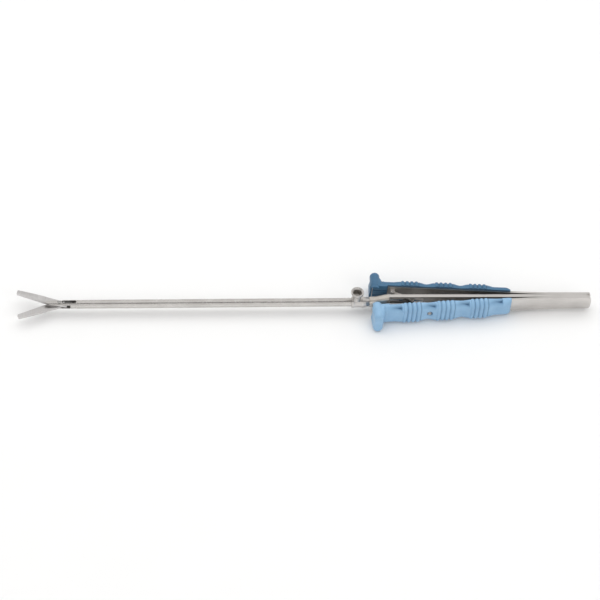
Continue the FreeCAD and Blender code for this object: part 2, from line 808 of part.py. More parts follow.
os.makedirs("parts", exist_ok=True)
for obj in nodes:
    obj.Shape.exportStep(f"parts/{obj.Label}.step")
    print(obj.Label, "solids", len(obj.Shape.Solids), "volume", round(obj.Shape.Volume, 2))
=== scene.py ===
"""Laparoscopic scissors: finishes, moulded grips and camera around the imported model."""

import json
import logging
import math
from dataclasses import dataclass, field
from enum import Enum

import bmesh
import bpy
from mathutils import Matrix, Vector
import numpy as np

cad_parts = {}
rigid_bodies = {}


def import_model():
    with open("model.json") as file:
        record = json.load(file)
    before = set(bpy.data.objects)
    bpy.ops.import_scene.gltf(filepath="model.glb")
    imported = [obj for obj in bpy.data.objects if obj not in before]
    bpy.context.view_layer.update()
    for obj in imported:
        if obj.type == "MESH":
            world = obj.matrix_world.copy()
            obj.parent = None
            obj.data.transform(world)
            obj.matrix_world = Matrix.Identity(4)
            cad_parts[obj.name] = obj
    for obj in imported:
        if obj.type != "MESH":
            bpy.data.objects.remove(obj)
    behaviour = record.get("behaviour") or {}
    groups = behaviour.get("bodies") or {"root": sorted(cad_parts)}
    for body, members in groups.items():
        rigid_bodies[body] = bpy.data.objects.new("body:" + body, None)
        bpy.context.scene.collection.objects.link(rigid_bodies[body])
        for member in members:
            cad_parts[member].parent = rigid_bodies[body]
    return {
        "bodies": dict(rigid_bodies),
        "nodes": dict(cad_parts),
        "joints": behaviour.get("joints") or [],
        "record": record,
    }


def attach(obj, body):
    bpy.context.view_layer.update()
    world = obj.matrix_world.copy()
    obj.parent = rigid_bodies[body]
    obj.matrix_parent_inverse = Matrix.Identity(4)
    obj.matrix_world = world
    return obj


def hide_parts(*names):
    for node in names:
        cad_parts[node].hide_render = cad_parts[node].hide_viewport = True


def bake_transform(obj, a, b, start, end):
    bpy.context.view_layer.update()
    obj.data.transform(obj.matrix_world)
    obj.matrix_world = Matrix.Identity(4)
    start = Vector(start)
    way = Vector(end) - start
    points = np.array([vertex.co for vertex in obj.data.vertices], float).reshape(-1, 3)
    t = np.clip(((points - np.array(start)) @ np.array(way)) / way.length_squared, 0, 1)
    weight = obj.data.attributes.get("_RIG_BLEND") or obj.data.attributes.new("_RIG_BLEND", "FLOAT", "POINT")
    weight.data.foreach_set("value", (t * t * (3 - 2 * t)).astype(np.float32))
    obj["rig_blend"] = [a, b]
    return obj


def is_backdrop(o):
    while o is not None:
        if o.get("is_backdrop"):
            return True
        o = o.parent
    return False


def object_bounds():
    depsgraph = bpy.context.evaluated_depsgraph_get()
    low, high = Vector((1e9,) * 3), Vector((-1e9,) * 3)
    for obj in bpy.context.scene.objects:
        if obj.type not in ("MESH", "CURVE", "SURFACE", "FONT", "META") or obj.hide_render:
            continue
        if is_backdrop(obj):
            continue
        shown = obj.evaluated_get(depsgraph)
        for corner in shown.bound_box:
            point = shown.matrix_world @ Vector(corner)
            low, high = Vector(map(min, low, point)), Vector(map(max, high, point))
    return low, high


LOG = logging.getLogger("scissors")
MM = 0.001


class Polish(Enum):
    """The direction that a steel's polishing lines follow, as cycles per metre."""

    ALONG_X = (40.0, 4200.0, 4200.0)
    ALONG_Y = (4200.0, 40.0, 4200.0)
    ALONG_Z = (4200.0, 4200.0, 40.0)


class Spindle(Enum):
    """Where the axis of a turned piece points, as its turn about Y from the shaft."""

    ALONG_SHAFT = 0.0
    UPWARDS = -math.pi / 2


def smooth_share(share: float) -> float:
    """Ease a share between 0 and 1 in and out."""
    return share * share * (3 - 2 * share)


class Signal:
    """A shader socket that takes part in Python arithmetic, also as 1 - mask."""

    def __init__(self, graph: "Graph", socket: bpy.types.NodeSocket) -> None:
        """Keep the socket and the graph that it belongs to."""
        self.graph = graph
        self.socket = socket

    def _maths(self, operation: str, *values: "Signal | float") -> "Signal":
        """Add one Math node.

        Args:
            operation: The node's operation.
            values: Its inputs, in order.

        Returns:
            The node's result.
        """
        inputs = {index: value for index, value in enumerate(values)}
        return self.graph.node("ShaderNodeMath", {"operation": operation}, inputs)

    def __add__(self, other: "Signal | float") -> "Signal":
        """Sum."""
        return self._maths("ADD", self, other)

    __radd__ = __add__

    def __sub__(self, other: "Signal | float") -> "Signal":
        """Difference."""
        return self._maths("SUBTRACT", self, other)

    def __rsub__(self, other: float) -> "Signal":
        """Difference from a number."""
        return self._maths("SUBTRACT", other, self)

    def __mul__(self, other: "Signal | float") -> "Signal":
        """Product."""
        return self._maths("MULTIPLY", self, other)

    __rmul__ = __mul__

    def step(self, low: float, high: float) -> "Signal":
        """Rise smoothly from 0 at low to 1 at high."""
        settings = {"interpolation_type": "SMOOTHSTEP"}
        return self.graph.node("ShaderNodeMapRange", settings, {0: self, 1: low, 2: high})


class Graph:
    """The node tree of a material or of the room, built by name."""

    def __init__(self, owner: bpy.types.Material | bpy.types.World) -> None:
        """Start with no nodes.

        Args:
            owner: The material or world whose nodes these are.
        """
        self.owner = owner
        owner.use_nodes = True
        self.tree = owner.node_tree
        self.tree.nodes.clear()

    def node(self, kind: str, settings: dict, inputs: dict, output: int | str = 0) -> Signal:
        """Add one node.

        Args:
            kind: The node's type.
            settings: Properties that are set before its sockets.
            inputs: Values or signals by socket name or number.
            output: The socket to hand back.

        Returns:
            The chosen output.
        """
        made = self.tree.nodes.new(kind)
        for name, value in settings.items():
            if name == "stops":
                self._fill_ramp(made.color_ramp, value)
            else:
                setattr(made, name, value)
        for name, value in inputs.items():
            if isinstance(value, Signal):
                self.tree.links.new(value.socket, made.inputs[name])
            else:
                made.inputs[name].default_value = value
        return Signal(self, made.outputs[output])

    @staticmethod
    def _fill_ramp(ramp: bpy.types.ColorRamp, stops: list) -> None:
        """Place a ramp's stops, each a position and a colour.

        Args:
            ramp: The ramp.
            stops: Its stops in order.
        """
        while len(ramp.elements) < len(stops):
            ramp.elements.new(1.0)
        for element, (position, colour) in zip(ramp.elements, stops):
            element.position = position
            element.color = colour

    def coordinates(self, scale: tuple) -> Signal:
        """The object's own coordinates, stretched.

        Args:
            scale: Cycles per metre along X, Y and Z.

        Returns:
            The stretched vector.
        """
        place = self.node("ShaderNodeTexCoord", {}, {}, "Object")
        return self.node("ShaderNodeMapping", {}, {"Vector": place, "Scale": scale})

    def noise(self, scale: tuple, detail: float = 3.0, roughness: float = 0.55) -> Signal:
        """Cloudy noise over the object's own coordinates.

        Args:
            scale: Cycles per metre along X, Y and Z.
            detail: How many finer layers it has.
            roughness: How strong the finer layers are.

        Returns:
            The noise, from 0 to 1.
        """
        inputs = {"Vector": self.coordinates(scale), "Scale": 1.0, "Detail": detail,
                  "Roughness": roughness}
        return self.node("ShaderNodeTexNoise", {}, inputs, 0)

    def blend(self, factor: Signal, first: Signal | tuple, second: Signal | tuple) -> Signal:
        """A colour between two colours.

        Args:
            factor: 0 for the first colour and 1 for the second.
            first: A colour's red, green and blue, or the signal that carries it.
            second: The other colour.

        Returns:
            The mixed colour.
        """
        ends = [end if isinstance(end, Signal) else (*end, 1.0) for end in (first, second)]
        return self.node("ShaderNodeMix", {"data_type": "RGBA"},
                         {0: factor, 6: ends[0], 7: ends[1]}, 2)

    def bump(self, height: Signal, distance: float, strength: float) -> Signal:
        """The surface's direction, tilted by a height that rises over a distance in metres."""
        inputs = {"Height": height, "Distance": distance, "Strength": strength}
        return self.node("ShaderNodeBump", {}, inputs, "Normal")

    def surface(self, **inputs: object) -> bpy.types.Material:
        """Close the material with one Principled shader.

        Args:
            inputs: Sockets by name, with spaces as underscores.

        Returns:
            The finished material.
        """
        named = {name.replace("_", " "): value for name, value in inputs.items()}
        shader = self.node("ShaderNodeBsdfPrincipled", {}, named, "BSDF")
        self.close(shader, "ShaderNodeOutputMaterial")
        return self.owner

    def close(self, shader: Signal, kind: str) -> None:
        """Send a shader to an output node of the given type."""
        end = self.tree.nodes.new(kind)
        self.tree.links.new(shader.socket, end.inputs["Surface"])


@dataclass(frozen=True)
class BrushedSteel:
    """Stainless steel with fine polishing lines and faint handling marks."""

    name: str
    colour: tuple
    shade: tuple
    polish: Polish = Polish.ALONG_X
    roughness: float = 0.3
    spread: float = 0.12
    line_height: float = 0.00004
    line_strength: float = 0.35
    fine_share: float = 3.1
    cloud_scale: tuple = (90.0, 140.0, 140.0)
    mark_scale: tuple = (700.0, 700.0, 700.0)

    def build(self) -> bpy.types.Material:
        """Build the material.

        Returns:
            The material.
        """
        graph = Graph(bpy.data.materials.new(self.name))
        lines = graph.noise(self.polish.value, 4.0, 0.6)
        fine = graph.noise(tuple(self.fine_share * value for value in self.polish.value), 2.0)
        clouds = graph.noise(self.cloud_scale, 3.0)
        marks = graph.noise(self.mark_scale, 5.0, 0.7).step(0.62, 0.72)
        tone = lines * 0.45 + clouds * 0.4 + fine * 0.15
        colour = graph.blend(tone.step(0.32, 0.68), self.shade, self.colour)
        rough = self.roughness + (lines - 0.5) * self.spread + (clouds - 0.5) * 0.1 + marks * 0.06
        normal = graph.bump(lines * 0.7 + fine * 0.3, self.line_height, self.line_strength)
        return graph.surface(Base_Color=colour, Metallic=1.0, Roughness=rough, Normal=normal)


@dataclass(frozen=True)
class MouldedGrip:
    """Matt silicone-like plastic with a fine moulded grain and painted shade that darkens its creases."""

    name: str
    colour: tuple
    shade: tuple
    # The colour of the painted shade in the creases, between the ribs and in the screw's seat.
    crease: tuple
    roughness: float = 0.42
    cloud_scale: tuple = (110.0, 160.0, 160.0)
    grain_scale: tuple = (3800.0, 3800.0, 3800.0)
    grain_height: float = 0.00003
    grain_strength: float = 0.3

    def build(self) -> bpy.types.Material:
        """Build the material.

        Returns:
            The material.
        """
        graph = Graph(bpy.data.materials.new(self.name))
        clouds = graph.noise(self.cloud_scale, 3.0)
        grain = graph.noise(self.grain_scale, 2.0)
        tone = (clouds * 0.8 + grain * 0.2).step(0.3, 0.7)
        # Painted shade: the per-vertex attribute blends the colour toward the crease colour where shade
        # would fall.
        groove = graph.node("ShaderNodeAttribute", {"attribute_name": "groove"}, {}, "Fac")
        colour = graph.blend(groove, graph.blend(tone, self.shade, self.colour), self.crease)
        rough = self.roughness + (clouds - 0.5) * 0.14 + (grain - 0.5) * 0.08
        normal = graph.bump(grain, self.grain_height, self.grain_strength)
        return graph.surface(Base_Color=colour, Roughness=rough, Normal=normal,
                             Specular_IOR_Level=0.45)


@dataclass(frozen=True)
class PlainSurface:
    """A dull surface with a faint cloudy tone, for the pale floor and the black seal."""

    name: str
    colour: tuple
    roughness: float
    darker: float = 0.985
    cloud_scale: tuple = (30.0, 30.0, 30.0)

    def build(self) -> bpy.types.Material:
        """Build the material.

        Returns:
            The material.
        """
        graph = Graph(bpy.data.materials.new(self.name))
        clouds = graph.noise(self.cloud_scale, 2.0)
        darker = tuple(value * self.darker for value in self.colour)
        colour = graph.blend(clouds, darker, self.colour)
        return graph.surface(Base_Color=colour, Roughness=self.roughness)


@dataclass
class Finishes:
    """Every material of the instrument, by the slot that it dresses."""

    made: dict = field(default_factory=dict)

    def __post_init__(self) -> None:
        """Build the materials."""
        bright = (0.68, 0.655, 0.635)
        dull = (0.55, 0.53, 0.51)
        recipes = (
            BrushedSteel("tube_steel", bright, dull, Polish.ALONG_X, 0.26),
            BrushedSteel("satin_steel", bright, dull, Polish.ALONG_Z, 0.3),
            BrushedSteel("pin_steel", (0.62, 0.61, 0.6), (0.42, 0.41, 0.4), Polish.ALONG_Z, 0.25),
            BrushedSteel("warm_steel", (0.7, 0.66, 0.61), (0.53, 0.49, 0.44), Polish.ALONG_X,
                         0.33),
            BrushedSteel("handle_steel", (0.7, 0.675, 0.655), (0.57, 0.55, 0.53),
                         Polish.ALONG_X, 0.34),
            BrushedSteel("rod_steel", (0.16, 0.155, 0.15), (0.09, 0.09, 0.09), Polish.ALONG_X,
                         0.3),
            BrushedSteel("blade_steel", (0.7, 0.685, 0.68), (0.55, 0.535, 0.53),
                         Polish.ALONG_Y, 0.34),
            PlainSurface("seal_rubber", (0.03, 0.03, 0.03), 0.6),
            # The far grip's darker blue is painted shade: the same blue moulding as the near grip, darkened
            # because the far arm lies in shade.
            MouldedGrip("grip_dark", (0.066, 0.175, 0.3), (0.048, 0.135, 0.24),
                        (0.015, 0.05, 0.1)),
            MouldedGrip("grip_light", (0.29, 0.49, 0.7), (0.24, 0.42, 0.62),
                        (0.05, 0.13, 0.24)),
        )
        for recipe in recipes:
            self.made[recipe.name] = recipe.build()

    def dress(self, piece: bpy.types.Object, slot: str) -> None:
        """Give a piece the finish of a slot."""
        piece.data.materials.clear()
        piece.data.materials.append(self.made[slot])


@dataclass
class Studio:
    """The floor, the soft light and the camera at the photograph's viewing angle."""

    azimuth: float = -10.0
    elevation: float = 50.0
    axis_slope: float = 0.45
    distance: float = 2.4
    sensor: float = 36.0
    frame_px: float = 600.0
    px_per_metre: float = 1742.5
    origin_px: tuple = (351.3, 302.1)
    floor_reach: float = 4.0
    floor_colour: tuple = (0.93, 0.93, 0.93)
    wall: float = 0.8
    walls: tuple = ((0.0, 0.9), (0.53, 0.9), (0.57, 0.03), (0.65, 0.03), (0.7, 0.72), (1.0, 1.0))
    strip_rise: tuple = (0.0, 0.766, 0.643)
    strip_front: tuple = (-0.11, -0.63, 0.766)
    warmth: tuple = (1.0, 0.995, 0.985)
    panels: tuple = (("overhead_panel", (-0.1, 0.35, 1.3), (2.6, 1.8), 12.0),
                     ("side_panel", (0.9, -0.9, 0.9), (0.7, 0.7), 2.0))

    def aim(self) -> tuple[Vector, Vector, Vector]:
        """Work out the camera's own axes.

        Returns:
            Its right, up and backward directions.
        """
        turn = math.radians(self.azimuth)
        lift = math.radians(self.elevation)
        right = Vector((math.cos(turn), math.sin(turn), 0.0))
        back = Vector((math.sin(turn) * math.cos(lift), -math.cos(turn) * math.cos(lift),
                       math.sin(lift)))
        up = back.cross(right)
        slope = math.atan2(up.x, right.x)
        roll = Matrix.Rotation(slope - math.radians(self.axis_slope), 3, back)
        return roll @ right, roll @ up, back

    def make_camera(self) -> None:
        """Place the camera and make it the scene's."""
        right, up, back = self.aim()
        centre = self.frame_px / 2
        shift_x = (centre - self.origin_px[0]) / self.px_per_metre
        shift_y = (self.origin_px[1] - centre) / self.px_per_metre
        target = right * shift_x + up * shift_y
        data = bpy.data.cameras.new("photo_camera")
        data.sensor_width = self.sensor
        data.lens = self.sensor * self.distance * self.px_per_metre / self.frame_px
        data.clip_end = 20.0
        camera = bpy.data.objects.new("photo_camera", data)
        turn = Matrix((right, up, back)).transposed().to_4x4()
        camera.matrix_world = Matrix.Translation(target + back * self.distance) @ turn
        bpy.context.collection.objects.link(camera)
        bpy.context.scene.camera = camera

    def make_floor(self, height: float) -> None:
        """Lay a wide pale floor.

        Args:
            height: Its Z in metres.
        """
        shape = bmesh.new()
        bmesh.ops.create_grid(shape, x_segments=2, y_segments=2, size=self.floor_reach)
        bmesh.ops.translate(shape, vec=(0.0, 0.0, height), verts=shape.verts)
        mesh = bpy.data.meshes.new("floor")
        shape.to_mesh(mesh)
        shape.free()
        floor = bpy.data.objects.new("floor", mesh)
        mesh.materials.append(PlainSurface("floor_paint", self.floor_colour, 0.9).build())
        bpy.context.collection.objects.link(floor)
        floor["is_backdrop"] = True

    def warm(self, level: float) -> tuple:
        """The slightly warm white of a wall at a level of light."""
        return tuple(level * share for share in self.warmth)

    def make_room(self) -> None:
        """Surround the table with white walls and one dark strip that shiny steel mirrors."""
        world = bpy.data.worlds.new("white_room")
        graph = Graph(world)
        toward = graph.node("ShaderNodeTexCoord", {}, {}, "Generated")
        rise, front = (
            graph.node("ShaderNodeVectorMath", {"operation": "DOT_PRODUCT"},
                       {0: toward, 1: direction}, "Value")
            for direction in (self.strip_rise, self.strip_front))
        stops = [(position, (*self.warm(level), 1.0)) for position, level in self.walls]
        strip = graph.node("ShaderNodeValToRGB", {"stops": stops}, {0: rise * 0.5 + 0.5}, "Color")
        colour = graph.blend(front.step(0.05, 0.3), self.warm(self.wall), strip)
        light = graph.node("ShaderNodeBackground", {}, {"Color": colour, "Strength": 1.0}, 0)
        graph.close(light, "ShaderNodeOutputWorld")
        bpy.context.scene.world = world

    def make_light(self) -> None:
        """Hang soft panels over the table, which light it without being mirrored."""
        for name, place, extent, power in self.panels:
            data = bpy.data.lights.new(name, "AREA")
            data.shape = "RECTANGLE"
            data.size, data.size_y = extent
            data.energy = power
            lamp = bpy.data.objects.new(name, data)
            lamp.location = place
            lamp.rotation_mode = "QUATERNION"
            lamp.rotation_quaternion = Vector(place).to_track_quat("Z", "Y")
            lamp.visible_glossy = False
            bpy.context.collection.objects.link(lamp)


def marked_disc(shape: bmesh.types.BMesh, points: int) -> bmesh.types.BMFace:
    """Start a drawn form with a disc whose corners carry their numbers.

    Args:
        shape: The mesh, with a whole-number layer called ring.
        points: How many corners the disc has.

    Returns:
        The disc.
    """
    corners = bmesh.ops.create_circle(shape, cap_ends=True, segments=points, radius=1.0)["verts"]
    mark = shape.verts.layers.int["ring"]
    for index, vert in enumerate(corners):
        vert[mark] = index
    return corners[0].link_faces[0]


def draw_out(shape: bmesh.types.BMesh, face: bmesh.types.BMFace,
             first: bool) -> bmesh.types.BMFace:
    """Extrude an end face by one step.

    Args:
        shape: The mesh.
        face: The end face, which stays as the closed start on the first step.
        first: Whether this is the first step.

    Returns:
        The new end face.
    """
    made = bmesh.ops.extrude_face_region(shape, geom=[face])["geom"]
    if not first:
        bmesh.ops.delete(shape, geom=[face], context="FACES_ONLY")
    return next(item for item in made if isinstance(item, bmesh.types.BMFace))


def slot_of(frame: dict, node: str) -> str:
    """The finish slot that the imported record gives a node.

    Args:
        frame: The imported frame.
        node: The node's name.

    Returns:
        The slot's name.
    """
    for part in frame["record"]["subparts"]:
        if part["node"] == node:
            return part["material_slot"]
    raise KeyError(node)


class Side(Enum):
    """Which arm a piece belongs to."""

    FAR = "far"
    NEAR = "near"

    @property
    def finish(self) -> str:
        """The slot of this side's grip; the far grip's darker blue is painted shade on the same moulding."""
        return "grip_dark" if self is Side.FAR else "grip_light"

    @property
    def body(self) -> str:
        """The body that this side's arm moves with."""
        return f"{self.value}_handle"

    def place(self, x: float, y: float, angle: float) -> Matrix:
        """A place beside the centre bar, half turned about X for the near side.

        Args:
            x: Its X in millimetres.
            y: Its distance from the middle in millimetres.
            angle: Its turn about Z in degrees.

        Returns:
            The matrix from millimetres in that place to metres in the row frame.
        """
        there = Matrix.Translation((x, y, 0.0)) @ Matrix.Rotation(math.radians(angle), 4, "Z")
        turn = Matrix() if self is Side.FAR else Matrix.Rotation(math.pi, 4, "X")
        return Matrix.Scale(MM, 4) @ turn @ there


@dataclass
class Workshop:
    """Turns shapes into finished pieces that ride on the frame's bodies."""

    frame: dict
    finishes: Finishes
    weld: float = 0.000002
    flat_degrees: float = 0.6
    sharp_degrees: float = 35.0

    def finish(self, shape: bmesh.types.BMesh, name: str, slot: str, body: str | None,
               nodes: tuple, corner: float = 32.0) -> bpy.types.Object:
        """Make a shape a piece of the object.

        Args:
            shape: The mesh in metres in the row frame; it is used up.
            name: The piece's name.
            slot: The finish's slot.
            body: The body it rides on, or None where the caller blends it.
            nodes: The nodes that it stands for.
            corner: Edges over this many degrees stay sharp.

        Returns:
            The piece.
        """
        bmesh.ops.recalc_face_normals(shape, faces=shape.faces)
        for edge in shape.edges:
            edge.smooth = not edge.is_manifold or edge.calc_face_angle(0.0) < math.radians(corner)
        for face in shape.faces:
            face.smooth = True
        mesh = bpy.data.meshes.new(name)
        shape.to_mesh(mesh)
        shape.free()
        piece = bpy.data.objects.new(name, mesh)
        bpy.context.collection.objects.link(piece)
        self.finishes.dress(piece, slot)
        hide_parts(*nodes)
        if body is not None:
            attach(piece, body)
        LOG.info("built %s", name)
        return piece

    def ease(self, node: str, body: str, width: float, segments: int = 2) -> bpy.types.Object:
        """Copy a machined node and break its sharp edges.

        Args:
            node: The node.
            body: The body that it moves with.
            width: The width of the broken edge in millimetres.
            segments: The bevel's steps.

        Returns:
            The piece that stands for the node.
        """
        shape = bmesh.new()
        shape.from_mesh(self.frame["nodes"][node].data)
        bmesh.ops.remove_doubles(shape, verts=shape.verts, dist=self.weld)
        bmesh.ops.dissolve_limit(shape, angle_limit=math.radians(self.flat_degrees),
                                 verts=shape.verts, edges=shape.edges)
        limit = math.radians(self.sharp_degrees)
        sharp = [edge for edge in shape.edges
                 if edge.is_manifold and edge.calc_face_angle(0.0) > limit]
        bmesh.ops.bevel(shape, geom=sharp, offset=width * MM, offset_type="OFFSET",
                        segments=segments, profile=0.5, affect="EDGES", clamp_overlap=True,
                        material=-1)
        slot = slot_of(self.frame, node)
        return self.finish(shape, f"{node}_eased", slot, body, (node,))


@dataclass
class Turned:
    """A piece turned on a lathe, in millimetres, from points along and out of its axis."""

    profile: tuple
    spindle: Spindle = Spindle.ALONG_SHAFT
    place: tuple = (0.0, 0.0, 0.0)
    steps: int = 72
    edge: float = 0.12

    def shape(self) -> bmesh.types.BMesh:
        """Spin the profile about its axis.

        Returns:
            The closed shape in metres.
        """
        shape = bmesh.new()
        corners = [shape.verts.new((along, radius, 0.0)) for along, radius in self.profile]
        for first, second in zip(corners, corners[1:] + corners[:1]):
            shape.edges.new((first, second))
        bmesh.ops.bevel(shape, geom=corners, offset=self.edge, segments=3, profile=0.5,
                        affect="VERTICES", clamp_overlap=True, material=-1)
        bmesh.ops.spin(shape, geom=list(shape.verts) + list(shape.edges), cent=(0, 0, 0),
                       axis=(1, 0, 0), angle=math.tau, steps=self.steps, use_merge=True)
        bmesh.ops.remove_doubles(shape, verts=shape.verts, dist=0.0005)
        turn = Matrix.Rotation(self.spindle.value, 4, "Y")
        shape.transform(Matrix.Scale(MM, 4) @ Matrix.Translation(self.place) @ turn)
        return shape


@dataclass
class Shaft:
    """The tube, the collar with its flush port, the taper nut and the small steel around them."""

    workshop: Workshop
    port_place: float = 2.8
    tube: tuple = ((-157.5, 1.9), (-157.5, 2.5), (0.0, 2.5), (0.0, 2.14), (5.5, 2.14), (5.5, 1.9))
    collar: tuple = (
        (0.0, 2.16), (0.0, 2.95), (0.35, 3.2), (1.3, 3.2), (1.5, 3.05), (5.9, 3.05), (6.1, 3.2),
        (7.4, 3.2), (7.4, 0.85), (5.5, 0.85), (5.5, 2.16))
    nut: tuple = (
        (7.4, 1.95), (7.4, 3.05), (8.1, 3.05), (8.3, 2.85), (10.3, 2.62), (10.3, 0.85),
        (8.5, 0.85), (8.5, 1.95))
    port: tuple = (
        (2.82, 1.1), (2.82, 2.6), (4.0, 2.55), (5.4, 2.6), (6.9, 2.95), (7.9, 3.45), (8.3, 3.75),
        (9.05, 3.75), (9.3, 3.5), (9.3, 3.05), (8.6, 2.35), (7.8, 2.1), (4.7, 2.1), (4.7, 1.1))
    broken_edges: tuple = (
        ("jaw_housing", "frame", 0.1), ("blade_pivot_screw", "frame", 0.05),
        ("front_block", "frame", 0.25), ("centre_bar", "frame", 0.15), ("rod_fork", "rod", 0.06),
        ("crosshead", "rod", 0.1), ("crosshead_pin", "rod", 0.1))
    link_edge: float = 0.14
    lug_edge: float = 0.12
    pin_edge: float = 0.1
    blade_edge: float = 0.1
    turned_edge: float = 0.08

    def build(self) -> None:
        """Build every piece of the shaft and of the mechanism behind it."""
        self.make_tube()
        self.make_collar()
        self.make_port()
        for node, body, width in self.broken_edges:
            self.workshop.ease(node, body, width)
        for side in Side:
            self.workshop.ease(f"{side.value}_link", f"{side.value}_link_body", self.link_edge)
            self.workshop.ease(f"{side.value}_lug", side.body, self.lug_edge)
            self.workshop.ease(f"{side.value}_link_pin", side.body, self.pin_edge)
        for name in ("upper", "lower"):
            self.workshop.ease(f"{name}_blade", f"{name}_jaw", self.blade_edge)

    def make_tube(self) -> None:
        """Draw the long tube with its softened front edge."""
        self.workshop.finish(Turned(self.tube).shape(), "drawn_tube", "tube_steel", "frame",
                             ("outer_tube",))

    def make_collar(self) -> None:
        """Turn the collar with its front flange and the taper nut behind it."""
        collar = Turned(self.collar, edge=self.turned_edge)
        self.workshop.finish(collar.shape(), "turned_collar", "satin_steel", "frame",
                             ("port_collar",))
        nut = Turned(self.nut, edge=self.turned_edge)
        self.workshop.finish(nut.shape(), "turned_nut", "satin_steel", "frame", ("taper_nut",))

    def make_port(self) -> None:
        """Turn the flush port with its flared and rolled mouth."""
        port = Turned(self.port, Spindle.UPWARDS, (self.port_place, 0.0, 0.0), edge=0.1)
        self.workshop.finish(port.shape(), "turned_port", "satin_steel", "frame", ("flush_port",))


@dataclass
class Strap:
    """A spring-steel strap that runs beside the centre bar and opens outwards from its bend."""

    workshop: Workshop
    side: Side
    start: float = 12.4
    end: float = 139.0
    bend: float = 110.0
    ease_in: float = 11.0
    angle: float = 3.6
    middle: float = 1.65
    thickness: float = 1.2
    width_front: float = 10.8
    width_rear: float = 9.0
    taper_start: float = 21.4
    rounded_rear: float = 3.0
    rounded_front: float = 1.5
    rim: float = 0.2
    steps: int = 110

    def centre(self, x: float) -> float:
        """How far from the middle the strap's centre runs.

        Args:
            x: A place along the handle in millimetres.

        Returns:
            The distance in millimetres.
        """
        ahead = self.bend - x
        if ahead <= -self.ease_in:
            run = 0.0
        elif ahead >= self.ease_in:
            run = ahead
        else:
            run = (ahead + self.ease_in) ** 2 / (4 * self.ease_in)
        return self.middle + run * math.tan(math.radians(self.angle))

    def half_width(self, x: float) -> float:
        """Half the strap's width at a place along the handle."""
        share = (x - self.taper_start) / (self.end - self.taper_start)
        return (self.width_front - (self.width_front - self.width_rear) * share) / 2

    def build(self) -> None:
        """Lay the strap out flat, round its ends, thicken it and bend it."""
        shape = bmesh.new()
        bmesh.ops.create_grid(shape, x_segments=self.steps, y_segments=2, size=1.0)
        for vert in shape.verts:
            x = self.start + (vert.co.x + 1) / 2 * (self.end - self.start)
            vert.co = (x, vert.co.y * self.half_width(x), 0.0)
        for place, radius in ((self.end, self.rounded_rear), (self.start, self.rounded_front)):
            corners = [vert for vert in shape.verts
                       if len(vert.link_faces) == 1 and abs(vert.co.x - place) < 0.01]
            bmesh.ops.bevel(shape, geom=corners, offset=radius, segments=8, profile=0.5,
                            affect="VERTICES", clamp_overlap=False, material=-1)
        raised = bmesh.ops.extrude_face_region(shape, geom=list(shape.faces))["geom"]
        top = [item for item in raised if isinstance(item, bmesh.types.BMVert)]
        bmesh.ops.translate(shape, verts=top, vec=(0.0, 0.0, self.thickness))
        rims = [edge for edge in shape.edges
                if edge.is_manifold and edge.calc_face_angle(0.0) > math.radians(60)]
        bmesh.ops.bevel(shape, geom=rims, offset=self.rim, segments=3, profile=0.5, affect="EDGES",
                        clamp_overlap=True, material=-1)
        for vert in shape.verts:
            x, across, rise = vert.co
            vert.co = (x, self.centre(x) + rise - self.thickness / 2, across)
        shape.transform(self.side.place(0.0, 0.0, 0.0))
        name = self.side.value
        strap = self.workshop.finish(shape, f"{name}_strap", "handle_steel", None,
                                     (f"{name}_arm", f"{name}_arm_root"))
        sign = 1.0 if self.side is Side.FAR else -1.0
        rear, front = self.bend + self.ease_in, self.bend - self.ease_in
        start, end = (Vector((x, sign * self.centre(x), 0.0)) * MM for x in (rear, front))
        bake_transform(strap, "frame", self.side.body, start, end)


